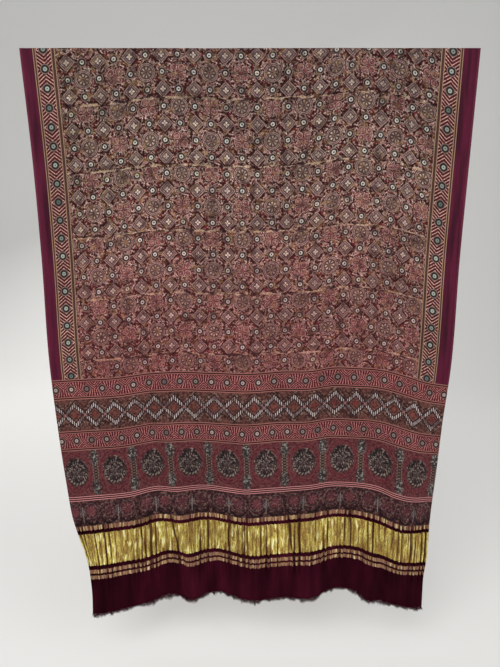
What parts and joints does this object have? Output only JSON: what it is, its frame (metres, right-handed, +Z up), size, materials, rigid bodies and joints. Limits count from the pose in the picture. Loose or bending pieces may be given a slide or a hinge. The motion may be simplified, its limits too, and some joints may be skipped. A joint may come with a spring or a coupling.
{
  "type": "ajrakh cloth",
  "caption": "Hanging printed end of a block-printed ajrakh cloth with side borders, cross bands, a woven gold band and a raw frayed hem.",
  "frame": {"origin": "middle of the level top edge, in the plane that the cloth hangs from", "axes": "+Z up along the hanging warps, -Y the printed face, +X to the viewer's right"},
  "size_m": [1.118, 0.0729, 1.5156],
  "materials": {
    "cloth": "soft silk-like weave with a resist and mordant block print and a crinkled gold tissue band",
    "fringe": "loose dark maroon thread ends"
  },
  "bodies": {
    "root": {"cloth": "cloth", "fringe": "fringe"}
  },
  "joints": []
}
